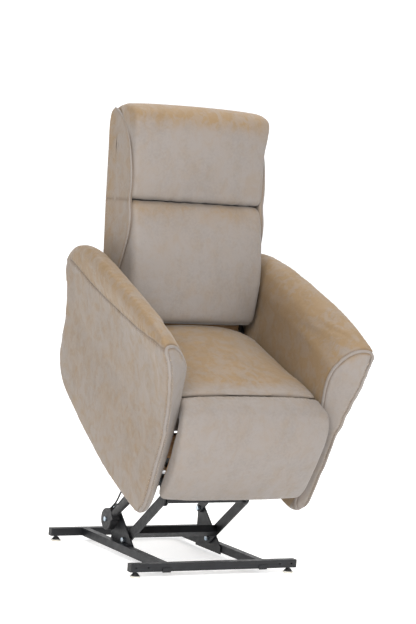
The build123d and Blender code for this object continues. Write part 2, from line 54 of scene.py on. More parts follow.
# --- frames: the chair's own axes (mm), and those of its back ------------------------------------
slide = joints["legrest_rod_slide"]["axis"]
TILT = math.atan2(abs(slide[2]), abs(slide[1]))   # the raised chair tips forward by this much
LEAN = math.radians(29)                           # the back leans backwards from the seat's upright
HINGE = (590.0, 370.0)                            # the back's hinge, as chair-frame y, z
hinge_at = joints["back_recline"]["pos_m"]


def chair(x, y, z):
    """Row-frame points, in metres, of chair-frame x, y, z in mm."""
    dy, dz = np.asarray(y, float) - HINGE[0], np.asarray(z, float) - HINGE[1]
    wy = hinge_at[1] + (math.cos(TILT) * dy - math.sin(TILT) * dz) / 1000
    wz = hinge_at[2] + (math.sin(TILT) * dy + math.cos(TILT) * dz) / 1000
    return np.stack([np.broadcast_to(np.asarray(x, float) / 1000, wy.shape), wy, wz], -1)


def in_chair(points):
    """Chair-frame x, y, z in mm of row-frame points in metres."""
    dy, dz = (points[:, 1] - hinge_at[1]) * 1000, (points[:, 2] - hinge_at[2]) * 1000
    y = math.cos(TILT) * dy + math.sin(TILT) * dz + HINGE[0]
    z = -math.sin(TILT) * dy + math.cos(TILT) * dz + HINGE[1]
    return np.stack([points[:, 0] * 1000, y, z], -1)


def back(x, n, d):
    """Row-frame points of a place n behind the back's plane and d up it."""
    n, d = np.asarray(n, float), np.asarray(d, float)
    return chair(x, HINGE[0] + n * math.cos(LEAN) + d * math.sin(LEAN),
                 HINGE[1] - n * math.sin(LEAN) + d * math.cos(LEAN))


def in_back(points):
    """Back-frame x, n, d in mm of row-frame points."""
    p = in_chair(points)
    y, z = p[:, 1] - HINGE[0], p[:, 2] - HINGE[1]
    n = y * math.cos(LEAN) - z * math.sin(LEAN)
    d = y * math.sin(LEAN) + z * math.cos(LEAN)
    return np.stack([p[:, 0], n, d], -1)


# --- curves and meshes -----------------------------------------------------------------------------
COVER_VOXEL = 0.008       # mesh size of the cushions before they are inflated, in metres
ARM_VOXEL = 0.009
CURVE_STEPS = 16          # samples between two points of a drawn curve
CLOTH_QUALITY = 4
CLOTH_PRESSURE = 4.0
CLOTH_FRAMES = 20
HELD_BELOW = 0.35         # the cover is pinned where it is less free than this
SEW_REACH = 0.045         # how far a seam is felt to each side, in metres
SEAM_MARK = 0.006         # half width of the darker line of a sewn seam
EDGE_MARK = 0.0028        # and of the finer line beside the welt
TUBE_SIDES = 12
STITCH_PITCH = 0.0065
STITCH_LENGTH = 0.0042
STITCH_RADIUS = 0.00055
STITCH_SIDES = 5
STITCH_TURN = 1.2566      # the angle between two of a stitch's sides
PILLOW_COUNT = 132        # points round a cushion's section


def resample(points, count, closed):
    p = np.vstack([points, points[:1]]) if closed else points
    step = np.linalg.norm(np.diff(p[:, :3], axis=0), axis=1)
    s = np.concatenate([[0], np.cumsum(step)])
    at = np.linspace(0, s[-1], count, endpoint=not closed)
    return np.stack([np.interp(at, s, p[:, k]) for k in range(p.shape[1])], -1)


def smooth(points, count, closed=True):
    """A centripetal Catmull-Rom curve through points, evenly spaced."""
    p = np.asarray(points, float)
    m = len(p)
    out = []
    for i in range(m if closed else m - 1):
        if closed:
            a, b, c, d = (p[(i + k) % m] for k in (-1, 0, 1, 2))
        else:
            a, b, c, d = p[max(i - 1, 0)], p[i], p[i + 1], p[min(i + 2, m - 1)]
            a = a if i else 2 * b - c
            d = d if i + 2 < m else 2 * c - b
        t = [0.0]
        for u, v in ((a, b), (b, c), (c, d)):
            t.append(t[-1] + max(np.linalg.norm((v - u)[:3]) ** 0.5, 1e-6))
        x = np.linspace(t[1], t[2], CURVE_STEPS, endpoint=False)[:, None]
        ab = (t[1] - x) / (t[1] - t[0]) * a + (x - t[0]) / (t[1] - t[0]) * b
        bc = (t[2] - x) / (t[2] - t[1]) * b + (x - t[1]) / (t[2] - t[1]) * c
        cd = (t[3] - x) / (t[3] - t[2]) * c + (x - t[2]) / (t[3] - t[2]) * d
        abc = (t[2] - x) / (t[2] - t[0]) * ab + (x - t[0]) / (t[2] - t[0]) * bc
        bcd = (t[3] - x) / (t[3] - t[1]) * bc + (x - t[1]) / (t[3] - t[1]) * cd
        out.append((t[2] - x) / (t[2] - t[1]) * abc + (x - t[1]) / (t[2] - t[1]) * bcd)
    if not closed:
        out.append(p[-1:])
    return resample(np.vstack(out), count, closed)


def new_piece(name, points, faces):
    mesh = bpy.data.meshes.new(name)
    mesh.from_pydata(np.asarray(points).tolist(), [], faces)
    mesh.update()
    obj = bpy.data.objects.new(name, mesh)
    bpy.context.scene.collection.objects.link(obj)
    return obj


def skin(name, rings):
    """A closed mesh over rings of points, from a first cap to a last one."""
    count = rings.shape[1]
    faces = []
    for r in range(len(rings) - 1):
        for i in range(count):
            j = (i + 1) % count
            faces.append((r * count + i, r * count + j, (r + 1) * count + j, (r + 1) * count + i))
    last = (len(rings) - 1) * count
    faces.append(tuple(range(count))[::-1])
    faces.append(tuple(last + i for i in range(count)))
    return new_piece(name, rings.reshape(-1, 3), faces)


def points_of(obj):
    co = np.empty(len(obj.data.vertices) * 3, np.float32)
    obj.data.vertices.foreach_get("co", co)
    return co.reshape(-1, 3).astype(float)


def normals_of(obj):
    no = np.empty(len(obj.data.vertices) * 3, np.float32)
    obj.data.vertex_normals.foreach_get("vector", no)
    return no.reshape(-1, 3).astype(float)


def set_points(obj, co):
    obj.data.vertices.foreach_set("co", np.asarray(co, np.float32).ravel())
    obj.data.update()


def apply_modifiers(obj):
    dg = bpy.context.evaluated_depsgraph_get()
    mesh = bpy.data.meshes.new_from_object(obj.evaluated_get(dg))
    old = obj.data
    obj.modifiers.clear()
    obj.data = mesh
    bpy.data.meshes.remove(old)


def remesh(obj, voxel, passes=6):
    m = obj.modifiers.new("remesh", "REMESH")
    m.mode = "VOXEL"
    m.voxel_size = voxel
    s = obj.modifiers.new("smooth", "SMOOTH")
    s.factor = 0.5
    s.iterations = passes
    apply_modifiers(obj)


def subdivide(obj):
    obj.modifiers.new("fine", "SUBSURF").levels = 1
    apply_modifiers(obj)


def inflate(obj, free, cap):
    """Swells a cover as cloth under pressure, by up to cap metres. free is 0 where it is held."""
    before = points_of(obj)
    held = obj.vertex_groups.new(name="held")
    held.add(np.nonzero(free < HELD_BELOW)[0].tolist(), 1.0, "REPLACE")
    cloth = obj.modifiers.new("cloth", "CLOTH")
    cloth.settings.quality = CLOTH_QUALITY
    cloth.settings.use_pressure = True
    cloth.settings.uniform_pressure_force = CLOTH_PRESSURE
    cloth.settings.effector_weights.gravity = 0
    cloth.settings.vertex_group_mass = "held"
    cloth.point_cache.frame_start = 1
    cloth.point_cache.frame_end = CLOTH_FRAMES
    for f in range(1, CLOTH_FRAMES + 1):
        bpy.context.scene.frame_set(f)
    dg = bpy.context.evaluated_depsgraph_get()
    grown = obj.evaluated_get(dg).to_mesh()
    after = np.empty(len(grown.vertices) * 3, np.float32)
    grown.vertices.foreach_get("co", after)
    after = after.reshape(-1, 3).astype(float)
    obj.evaluated_get(dg).to_mesh_clear()
    obj.modifiers.clear()
    obj.vertex_groups.clear()
    bpy.context.scene.frame_set(1)
    move = after - before
    size = np.linalg.norm(move, axis=1, keepdims=True)
    move *= np.where(size > 1e-9, cap * np.tanh(size / cap) / np.maximum(size, 1e-9), 0)
    set_points(obj, before + move * free[:, None])


def ramp(x, low, high):
    """0 below low, 1 above high and a smooth step between."""
    t = np.clip((x - low) / (high - low), 0, 1)
    return t * t * (3 - 2 * t)


def snapped(obj, path):
    """The path's points and normals on the piece's surface."""
    at, out = [], []
    for p in path:
        _, where, normal, _ = obj.closest_point_on_mesh(Vector(p))
        at.append(np.array(where))
        out.append(np.array(normal))
    return np.array(at), np.array(out)


def distances(co, path, reach):
    """Distance of every point to a dense path, and how far along the path, up to reach."""
    near = np.full(len(co), 9.0)
    along = np.zeros(len(co))
    step = np.concatenate([[0], np.cumsum(np.linalg.norm(np.diff(path, axis=0), axis=1))])
    tree = KDTree(len(path))
    for i, p in enumerate(path):
        tree.insert(p, i)
    tree.balance()
    low, high = path.min(0) - reach, path.max(0) + reach
    for i in np.nonzero(((co > low) & (co < high)).all(1))[0]:
        _, j, d = tree.find(co[i])
        if d < reach:
            near[i] = d
            along[i] = step[j]
    return near, along


def evened(path, closed, passes=10):
    """The path with small kinks taken out; an open run keeps its ends."""
    for _ in range(passes):
        mean = (np.roll(path, 1, 0) + np.roll(path, -1, 0)) / 2
        if not closed:
            mean[0], mean[-1] = path[0], path[-1]
        path = (path + mean) / 2
    return path


def sew(obj, path, depth=0.004, width=0.004, pucker=0.0008, closed=False, dark=0.0):
    """Draws the cover in along a seam, with small gathers beside it. The darker line is dark metres off."""
    dense = smooth(path, max(40, int(len(path) * 24)), closed)
    dense = evened(snapped(obj, dense)[0], closed)
    co, no = points_of(obj), normals_of(obj)
    near, along = distances(co, dense, SEW_REACH)
    dip = -depth * np.exp(-(near / width) ** 2)
    dip += 0.18 * depth * np.exp(-((near - 2.6 * width) / width) ** 2)
    wave = np.sin(along * 260 + 2.2 * np.sin(along * 71)) + 0.6 * np.sin(along * 430 + 1.3)
    dip += pucker * wave * np.exp(-((near - 0.012) / 0.010) ** 2)
    set_points(obj, co + no * dip[:, None])
    mark(obj, "seam", np.exp(-((near - dark) / (SEAM_MARK if dark == 0 else EDGE_MARK)) ** 2))
    return dense


def mark(obj, name, values):
    """Adds to a float attribute of the mesh, keeping the larger value."""
    got = obj.data.attributes.get(name)
    if got is None:
        got = obj.data.attributes.new(name, "FLOAT", "POINT")
    old = np.empty(len(obj.data.vertices), np.float32)
    got.data.foreach_get("value", old)
    got.data.foreach_set("value", np.maximum(old, values).astype(np.float32))


def keep_rest(obj):
    """Stores each point's place at rest, which the materials' patterns follow."""
    got = obj.data.attributes.new("rest_place", "FLOAT_VECTOR", "POINT")
    got.data.foreach_set("vector", points_of(obj).astype(np.float32).ravel())


def crumple(obj, size, scale, stretch=(1, 1, 1), mask=None):
    """Shallow random folds, along the normals."""
    co, no = points_of(obj), normals_of(obj)
    s = np.array(stretch) * scale
    h = np.array([noise.fractal(Vector(p * s), 0.9, 2.1, 3) for p in co])
    set_points(obj, co + no * (h * size * (1 if mask is None else mask))[:, None])


def tube(name, obj, path, wide, high, closed=False, lift=0.3):
    """Piping of an oval section along a path on a piece."""
    dense = smooth(path, max(60, int(len(path) * 14)), closed)
    at, out = snapped(obj, dense)
    at, out = evened(at, closed), evened(out, closed, 24)
    out /= np.linalg.norm(out, axis=1, keepdims=True)
    along = np.gradient(at, axis=0)
    if closed:
        along = np.roll(at, -1, 0) - np.roll(at, 1, 0)
    along /= np.linalg.norm(along, axis=1, keepdims=True)
    side = np.cross(along, out)
    side /= np.linalg.norm(side, axis=1, keepdims=True)
    angle = np.linspace(0, 2 * np.pi, TUBE_SIDES, endpoint=False)
    rings = (at + out * high * lift)[:, None] + side[:, None] * (wide * np.cos(angle))[None, :, None] \
        + out[:, None] * (high * np.sin(angle))[None, :, None]
    if not closed:
        return skin(name, rings)
    n, k = len(rings), TUBE_SIDES
    faces = [(r * k + i, r * k + (i + 1) % k, ((r + 1) % n) * k + (i + 1) % k, ((r + 1) % n) * k + i)
             for r in range(n) for i in range(k)]
    return new_piece(name, rings.reshape(-1, 3), faces)


def stitches(name, runs):
    """Rows of thread stitches; each run is (piece, path, shift to one side in metres, closed)."""
    verts, faces = [], []
    for obj, path, shift, closed in runs:
        total = np.linalg.norm(np.diff(np.asarray(path), axis=0), axis=1).sum()
        line = smooth(path, max(8, int(total / STITCH_PITCH)), closed)
        at, out = snapped(obj, line)
        along = np.gradient(at, axis=0)
        along /= np.maximum(np.linalg.norm(along, axis=1, keepdims=True), 1e-9)
        side = np.cross(along, out)
        at, out = snapped(obj, at + side * shift)
        for p, t, n, s in zip(at[1:-1], along[1:-1], out[1:-1], side[1:-1]):
            base = len(verts)
            for k, grow in ((-0.5, 0.35), (-0.3, 1.0), (0.3, 1.0), (0.5, 0.35)):
                sink = 0.2 if grow == 1.0 else -0.8
                for a in range(STITCH_SIDES):
                    c, q = math.cos(a * STITCH_TURN), math.sin(a * STITCH_TURN)
                    verts.append(p + t * k * STITCH_LENGTH + (s * c + n * q) * STITCH_RADIUS * grow
                                 + n * STITCH_RADIUS * sink)
            for r in range(3):
                low, high = base + r * STITCH_SIDES, base + (r + 1) * STITCH_SIDES
                for a in range(STITCH_SIDES):
                    b = (a + 1) % STITCH_SIDES
                    faces.append((low + a, low + b, high + b, high + a))
    return new_piece(name, np.array(verts), faces)


def pillow(name, rows, half, place, rounding, middle=10, power=2.4, shift=0.0):
    """A closed cushion: rows are (a, b) at its middle and (a, b) at its sides, half its half width."""
    line = smooth(rows, PILLOW_COUNT)
    heart = line.mean(0)
    reach_a = (line[:, 0].max() - line[:, 0].min()) / 2
    reach_b = (line[:, 1].max() - line[:, 1].min()) / 2
    keep = min(reach_a, reach_b)
    core_a = np.clip(line[:, 0], heart[0] - max(reach_a - keep, 0), heart[0] + max(reach_a - keep, 0))
    core_b = np.clip(line[:, 1], heart[1] - max(reach_b - keep, 0), heart[1] + max(reach_b - keep, 0))
    flat = half - rounding
    spots = [(-flat + 2 * flat * i / middle, 0.0) for i in range(middle + 1)]
    ends = [(flat + rounding * math.sin(q), rounding * (1 - math.cos(q)))
            for q in np.linspace(0, math.pi / 2, 8)[1:]]
    spots = [(-x, inset) for x, inset in reversed(ends)] + spots + ends
    rings = []
    for x, inset in spots:
        w = abs(x / half) ** power
        a = line[:, 0] * (1 - w) + line[:, 2] * w
        b = line[:, 1] * (1 - w) + line[:, 3] * w
        da, db = core_a - a, core_b - b
        far = np.hypot(da, db) + 1e-6
        k = np.minimum(inset / far, 0.8)
        rings.append(place(x + shift, a + da * k, b + db * k))
    caps = []
    for t in (0.25, 0.5, 0.75, 0.93):
        caps.append([ring * (1 - t) + heart_at * t for ring, heart_at in
                     ((rings[0], place(-half + shift, core_a, core_b)),
                      (rings[-1], place(half + shift, core_a, core_b)))])
    rings = [c[0] for c in reversed(caps)] + rings + [c[1] for c in caps]
    return skin(name, np.array(rings))


def settle(obj, body, join=None):
    """Shades the piece smooth and ties it to its body; a piece given a join is only baked in place and tied to no
    body.
    """
    obj.data.polygons.foreach_set("use_smooth", [True] * len(obj.data.polygons))
    if join:
        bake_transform(obj)
    else:
        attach(obj, body)
    return obj


# --- seat cushion ----------------------------------------------------------------------------------
# Rows give a section in mm: (y, z) at the middle of the cushion, then (y, z) at its sides.
SEAT_ROWS = [
    (36, 470, 36, 462), (80, 474, 80, 463), (140, 475, 140, 456), (220, 475, 220, 438),
    (310, 473, 310, 425), (400, 469, 400, 412), (465, 462, 465, 403), (500, 446, 500, 396),
    (504, 410, 504, 380), (504, 340, 504, 340), (500, 299, 500, 299), (300, 297, 300, 297),
    (80, 299, 80, 299), (67, 320, 67, 320), (66, 375, 66, 372), (58.5, 397, 58.5, 394),
    (59, 415, 59, 410), (54, 440, 54, 434), (46, 458, 46, 450)]
seat = pillow("seat_cushion_cover", SEAT_ROWS, 256, chair, 20)
remesh(seat, COVER_VOXEL)
at = in_chair(points_of(seat))
inflate(seat, ramp(at[:, 2], 425, 462) * ramp(at[:, 1], 62, 110) * ramp(500 - at[:, 1], 30, 90)
        * ramp(257 - abs(at[:, 0]), 2, 50), cap=0.010)
subdivide(seat)
at = in_chair(points_of(seat))
crumple(seat, 0.0016, 9, (1, 2.4, 1), ramp(at[:, 2], 400, 450) * ramp(250 - abs(at[:, 0]), 0, 60))
crumple(seat, 0.0007, 34, (0.5, 2.0, 1), ramp(at[:, 2], 400, 450))
at = in_chair(points_of(seat))
# Painted warm light on the seat's top, stronger towards the back, along with the leather's tan.
mark(seat, "warm_light_and_tan", ramp(at[:, 2], 395, 440) * (0.25 + 0.70 * ramp(at[:, 1], 60, 130)))

# --- leg-rest pad, whose top roll bends over the front of the seat -----------------------------------
PAD_ROWS = [
    (-58, 124, -50, 126), (-80, 165, -68, 165), (-93, 225, -79, 225), (-96, 290, -82, 290),
    (-91, 350, -79, 350), (-79, 405, -69, 403), (-60, 442, -54, 434), (-36, 464, -34, 452),
    (-8, 473, -8, 460), (14, 473.5, 14, 461), (33, 470, 33, 461), (44, 450, 43, 444),
    (51, 425, 50, 420), (53, 400, 53, 400), (30, 397.5, 30, 397.5), (-12, 397.5, -12, 397.5),
    (-20, 390, -20, 390), (-20, 300, -20, 300), (-20, 200, -20, 200), (-20, 126, -20, 128),
    (-38, 120, -36, 122)]
pad = pillow("legrest_pad_cover", PAD_ROWS, 257, chair, 15, power=3.2)
remesh(pad, COVER_VOXEL)
co = points_of(pad)
at = in_chair(co)
# The pad is widest in the upper half of its front.
co[:, 0] *= 1 + (0.045 * np.exp(-((at[:, 2] - 405) / 110) ** 2) * ramp(-at[:, 1], -5, 45)
                  + 0.012 * ramp(-at[:, 1], 0, 40))
set_points(pad, co)
inflate(pad, ramp(-at[:, 1], -8, 30) * ramp(at[:, 2], 128, 175) * ramp(262 - abs(at[:, 0]), 2, 40)
        * ramp(470 - at[:, 2], 2, 40), cap=0.008)
subdivide(pad)
at = in_chair(points_of(pad))
crumple(pad, 0.0010, 8, (1, 1, 1.6), ramp(-at[:, 1], 0, 40))
crumple(pad, 0.0004, 40, mask=ramp(-at[:, 1], 0, 40))
seam_pad = chair([-246, -150, 0, 150, 246], np.full(5, 31.0), np.array([462, 467, 468.5, 467, 462]))
sew(pad, seam_pad, depth=0.002, width=0.003)
# Painted warm light on the pad's top roll, along with the leather's tan.
mark(pad, "warm_light_and_tan", 0.12 * ramp(in_chair(points_of(pad))[:, 1], -40, 20))

# --- lumbar and head cushions: rows are (n, d) of the back's own frame -----------------------------------
LUMBAR_ROWS = [
    (-6, 27, -6, 27), (-60, 27, -50, 25), (-120, 29, -84, 24), (-158, 36, -102, 34),
    (-172, 64, -116, 63), (-177, 120, -134, 130), (-174, 200, -148, 195), (-166, 270, -147, 275),
    (-155, 335, -138, 340), (-142, 385, -128, 390), (-126, 418, -116, 420), (-104, 429, -100, 429),
    (-50, 429.5, -50, 429.5), (-6, 429, -6, 429), (-4, 230, -4, 230)]
lumbar = pillow("lumbar_cushion_cover", LUMBAR_ROWS, 249, back, 24, power=2.2)
remesh(lumbar, COVER_VOXEL)
HEAD_ROWS = [
    (-4, 434, -4, 434), (-60, 432.5, -60, 432.5), (-102, 433, -98, 433), (-124, 440, -114, 440),
    (-136, 470, -121, 470), (-142, 540, -125, 540), (-145, 610, -128, 610), (-149, 670, -136, 668),
    (-149, 698, -138, 697), (-139, 725, -131, 723), (-111, 745, -106, 737), (-60, 757, -60, 749),
    (-10, 758, -10, 750), (30, 749, 30, 742), (54, 734, 52, 729), (60, 717, 58, 715),
    (30, 712, 30, 712), (-2, 712, -2, 712)]
head = pillow("head_cushion_cover", HEAD_ROWS, 250, back, 15, power=2.8)
remesh(head, COVER_VOXEL)
at = in_back(points_of(lumbar))
inflate(lumbar, ramp(-at[:, 1], 40, 90) * ramp(at[:, 2], 40, 90) * ramp(428 - at[:, 2], 2, 45)
        * ramp(249 - abs(at[:, 0]), 2, 55), cap=0.012)
co = points_of(head)
at = in_back(co)
co[:, 0] *= 1 + 0.034 * ramp(at[:, 2], 590, 720) * ramp(-at[:, 1], 0, 60)
set_points(head, co)
inflate(head, ramp(-at[:, 1], 40, 90) * ramp(at[:, 2], 436, 480)
        * ramp(249 - abs(at[:, 0]), 2, 55), cap=0.009)
for piece in (lumbar, head):
    subdivide(piece)
at = in_back(points_of(lumbar))
crumple(lumbar, 0.0013, 8, (1, 1, 1.5), ramp(-at[:, 1], 60, 110))
# Small gathers run up to the seam between the two cushions.
gather = ramp(-at[:, 1], 60, 110) * np.exp(-((429 - at[:, 2]) / 32) ** 2)
wave = np.sin(at[:, 0] / 13 + 1.6 * np.sin(at[:, 0] / 47)) + 0.6 * np.sin(at[:, 0] / 7.3 + 1)
set_points(lumbar, points_of(lumbar) + normals_of(lumbar) * (0.0009 * gather * wave)[:, None])
# Painted warm light along the lumbar cushion's top, along with the leather's tan.
mark(lumbar, "warm_light_and_tan", 0.45 * np.exp(-((415 - at[:, 2]) / 45) ** 2))
at = in_back(points_of(head))
crumple(head, 0.0012, 8, (1, 1, 1.5), ramp(-at[:, 1], 60, 110))
gather = ramp(-at[:, 1], 60, 110) * np.exp(-((at[:, 2] - 433) / 26) ** 2)
wave = np.sin(at[:, 0] / 12 + 1.9 * np.sin(at[:, 0] / 51 + 2)) + 0.6 * np.sin(at[:, 0] / 6.7)
set_points(head, points_of(head) + normals_of(head) * (0.0008 * gather * wave)[:, None])
# Painted warm light on the head cushion's top roll, along with the leather's tan.
mark(head, "warm_light_and_tan", ramp(at[:, 2], 640, 745))

# --- the back's side panels, outside panel and the skirt below it ----------------------------------------
LEAF = [
    (17, 737), (-48, 695), (-92, 627), (-110, 561), (-117, 478), (-110, 429), (-120, 379), (-112, 313),
    (-82, 246), (-50, 189), (-30, 120), (-8, 76), (40, 72), (56, 76), (62, 150), (64, 300), (65, 438),
    (62, 600), (60, 690), (46, 730)]
PANEL_X = 250.5           # the middle of a side panel's thickness
side_panels = []
for side, name in ((-1, "back_side_panel_left"), (1, "back_side_panel_right")):
    panel = pillow(name, [(a, b, a, b) for a, b in LEAF], 8.5, back, 8, middle=2, shift=side * PANEL_X)
    subdivide(panel)
    side_panels.append(panel)
SHELL = [
    (47, -22, 47, -22), (60, -22, 58, -22), (66, 60, 62, 60), (70, 200, 64, 200), (71, 340, 64, 340),
    (69, 480, 63, 480), (64, 620, 60, 620), (59, 706, 57, 704), (50, 710, 50, 708), (47, 600, 47, 600),
    (47, 300, 47, 300), (47, 60, 47, 60)]
shell = pillow("back_outside_panel", SHELL, 249, back, 9, middle=24, power=4)
subdivide(shell)
crumple(shell, 0.0012, 7)
SKIRT = [
    (728, 68, 728, 68), (740, 66, 739, 66), (749, 140, 746, 140), (754, 240, 750, 240),
    (753, 318, 751, 318), (741, 322, 741, 322), (737, 240, 737, 240), (732, 140, 732, 140)]
skirt = pillow("rear_skirt_cover", SKIRT, 257, chair, 6, middle=24, power=4)
subdivide(skirt)
crumple(skirt, 0.0008, 7)

# --- arms: rows are the outer border (x, y, z), the inner border, and how far the band between swells -----
ARM_ROWS = [
    (303, -8, 42, 270, -5, 52, 0, -5), (306, -40, 78, 266, -20, 90, -5, -3),
    (311, -50, 150, 265, -22, 150, -5, 0), (315, -52, 240, 263, -20, 240, -5, 0),
    (318, -50, 330, 262, -14, 330, -5, 0), (325, -48, 405, 261, -6, 400, -4, 0),
    (339, -47, 495, 258, 20, 490, -3, 0), (353, -44, 560, 260, 28, 545, -2, 0),
    (366, -31, 615, 263, 28, 572, -2, 8), (377, -16, 646, 264, 29, 576, 4, 20),
    (383, 0, 662, 264, 40, 578, 4, 30), (381, 80, 675, 264, 95, 578, 0, 34),
    (385, 242, 673, 264, 242, 574, 0, 36), (384, 409, 658, 264, 409, 562, 0, 37),
    (372, 586, 636, 264, 586, 546, 0, 36), (362, 690, 614, 265, 690, 534, 0, 36),
    (356, 745, 594, 266, 740, 522, 4, 30), (353, 800, 556, 268, 794, 502, 8, 20),
    (352, 830, 506, 268, 820, 478, 10, 6), (350, 828, 458, 268, 818, 452, 10, 0),
    (339, 806, 400, 266, 800, 400, 8, 0), (324, 786, 300, 264, 782, 300, 8, 0),
    (314, 781, 210, 264, 777, 210, 8, 0), (308, 772, 145, 264, 766, 150, 6, -4),
    (306, 700, 78, 264, 700, 84, 0, -5), (304, 551, 46, 264, 551, 52, 0, -5),
    (304, 400, 30, 264, 400, 37, 0, -5), (304, 251, 22, 264, 251, 30, 0, -5),
    (304, 110, 28, 266, 110, 37, 0, -5)]
# How far out the outer face lies at each height, and the line of its top seam.
OUTER_Z = [30, 150, 250, 350, 400, 450, 500, 560, 600, 650, 680]
OUTER_X = [304, 311, 316, 319, 325, 332, 340, 354, 364, 378, 385]
SEAM_Y = [6, 56, 204, 447, 621, 759]
SEAM_Z = [655, 644, 608, 552, 524, 510]
FRONT = np.array(ARM_ROWS[:10], float)      # the rows up the front edge
ARM_BANDS = 17                              # rings across the band between the borders
ARM_CORE_Y, ARM_CORE_Z = (230, 560), 315.0  # where the two flat sides close up
ARM_INNER_X = 262.5
ARM_CAP_STEPS = (0.06, 0.16, 0.3, 0.45, 0.6, 0.75, 0.9, 0.985)


def arm_mesh(name):
    line = smooth(ARM_ROWS, 240)
    outer, inner = line[:, 0:3], line[:, 3:6]
    swell = np.stack([0 * line[:, 6], line[:, 6], line[:, 7]], -1)
    rings = []
    for s in (1 - np.cos(np.linspace(0, math.pi, ARM_BANDS))) / 2:
        bulge = math.sin(math.pi * s) ** 0.75
        rings.append(outer * (1 - s) + inner * s + swell * bulge)
    core_y, core_z = np.clip(outer[:, 1], *ARM_CORE_Y), np.full(len(outer), ARM_CORE_Z)
    caps = []
    for t in ARM_CAP_STEPS:
        y, z = outer[:, 1] * (1 - t) + core_y * t, outer[:, 2] * (1 - t) + core_z * t
        flat = min(t * 4, 1)
        x = np.interp(z, OUTER_Z, OUTER_X) * flat + outer[:, 0] * (1 - flat)
        first = np.stack([x + 5 * math.sin(math.pi / 2 * min(1, t * 2.2)), y, z], -1)
        y, z = inner[:, 1] * (1 - t) + core_y * t, inner[:, 2] * (1 - t) + core_z * t
        flat = min(t * 3, 1)
        last = np.stack([inner[:, 0] * (1 - flat) + ARM_INNER_X * flat, y, z], -1)
        caps.append((first, last))
    rings = [c[0] for c in reversed(caps)] + rings + [c[1] for c in caps]
    rings = np.array([chair(r[:, 0], r[:, 1], r[:, 2]) for r in rings])
    return skin(name, rings)


def front_weight(at):
    """1 on the arm's front panel, 0 elsewhere."""
    z = at[:, 2]
    xo, yo = np.interp(z, FRONT[:, 2], FRONT[:, 0]), np.interp(z, FRONT[:, 2], FRONT[:, 1])
    xi, yi = np.interp(z, FRONT[:, 5], FRONT[:, 3]), np.interp(z, FRONT[:, 5], FRONT[:, 4])
    plane = yo + (xo - abs(at[:, 0])) / (xo - xi) * (yi - yo)
    return ramp(plane + 12 - at[:, 1], 0, 8) * ramp(666 - z, 0, 12)


arm = arm_mesh("arm_cover_right")
remesh(arm, ARM_VOXEL, 4)
at = in_chair(points_of(arm))
top_band = ramp(at[:, 2] - np.interp(at[:, 1], SEAM_Y, SEAM_Z), -10, 12)
inflate(arm, top_band * ramp(at[:, 1], 40, 110) * 0.8, cap=0.006)
subdivide(arm)
at = in_chair(points_of(arm))
crumple(arm, 0.0018, 6, mask=ramp(at[:, 0], 290, 310))
crumple(arm, 0.0009, 16, mask=1 - front_weight(at))
TOP_SEAM = chair([378, 374, 366, 356, 351, 348, 345], [*SEAM_Y, 800], [*SEAM_Z, 505])
FRONT_OUTER = [
    (304, -24, 58), (307, -42, 90), (310, -49, 150), (314, -51, 240), (317, -50, 330), (323, -48, 405),
    (337, -47, 495), (351, -44, 560), (364, -32, 612), (379, -14, 648), (383, -6, 659)]
FRONT_ARCH = [
    (368, 4, 664), (351, 13, 662), (332, 23, 651), (314, 28, 638), (290, 28, 620), (276, 28, 600),
    (266, 29, 578), (260, 29, 545), (257, 22, 495), (260, -4, 405), (262, -13, 330), (263, -20, 240),
    (265, -22, 150), (267, -20, 92), (282, -24, 56)]
loop = np.array(FRONT_OUTER + FRONT_ARCH, float)
LOOP = chair(loop[:, 0], loop[:, 1], loop[:, 2])   # the welt round the arm's front panel
sew(arm, TOP_SEAM, depth=0.0035, width=0.004)
sew(arm, LOOP, depth=0.0035, width=0.006, pucker=0.0002, closed=True, dark=0.0072)
at = in_chair(points_of(arm))
pale = front_weight(at)
upper = ramp(at[:, 2] - np.interp(at[:, 1], SEAM_Y, SEAM_Z), -4, 8)
inner_face = ramp(300 - at[:, 0], 0, 20)
# Painted warm light on the arm's top and inner face, along with the leather's tan; the front panel is left out.
mark(arm, "warm_light_and_tan", (1 - pale) * np.clip(0.45 + 0.6 * upper + 0.7 * inner_face, 0, 1))
# Painted shade on the arm's inner face, deepening towards the back.
mark(arm, "painted_shade", (1 - pale) * inner_face * ramp(at[:, 1], 40, 420))


def mirrored(obj, name):
    """The same piece on the chair's other side."""
    twin = obj.copy()
    twin.data = obj.data.copy()
    twin.name = name
    twin.data.name = name
    bpy.context.scene.collection.objects.link(twin)
    twin.data.transform(Matrix.Diagonal((-1, 1, 1, 1)))
    twin.data.flip_normals()
    return twin


arm_left = mirrored(arm, "arm_cover_left")
welt = tube("arm_welt_right", arm, LOOP, 0.0052, 0.0036, closed=True)
welt_left = mirrored(welt, "arm_welt_left")

# --- seams on the back, and its piping ---------------------------------------------------------------------
EDGE = np.array([(30, 742), (-8, 722), (-48, 697), (-90, 629), (-110, 561), (-119, 478), (-113, 429),
                 (-121, 379), (-112, 313), (-82, 246), (-50, 189), (-30, 120)], float)
edge_piping = []
for side, panel, name in ((-1, side_panels[0], "back_edge_piping_left"),
                          (1, side_panels[1], "back_edge_piping_right")):
    path = back(side * 254.5, EDGE[:, 0], EDGE[:, 1])
    edge_piping.append(tube(name, panel, path, 0.0030, 0.0026, lift=0.1))
    cross = back(side * 259.0, np.array([-106, -60, -10, 58]), np.array([429, 431, 432, 433]))
    sew(panel, cross, depth=0.003, width=0.003, pucker=0.0003)
    at = in_back(points_of(panel))
    # Painted warm light on the panel, more towards its rear, along with the leather's tan.
    mark(panel, "warm_light_and_tan", 0.35 + 0.4 * ramp(at[:, 1], -40, 50))
shell_seam = back(np.array([-240, -240, -238, 0, 238, 240, 240]), np.full(7, 66.0),
                  np.array([-10, 300, 698, 701, 698, 300, -10]))
sew(shell, shell_seam, depth=0.0025, width=0.003, pucker=0.0003)
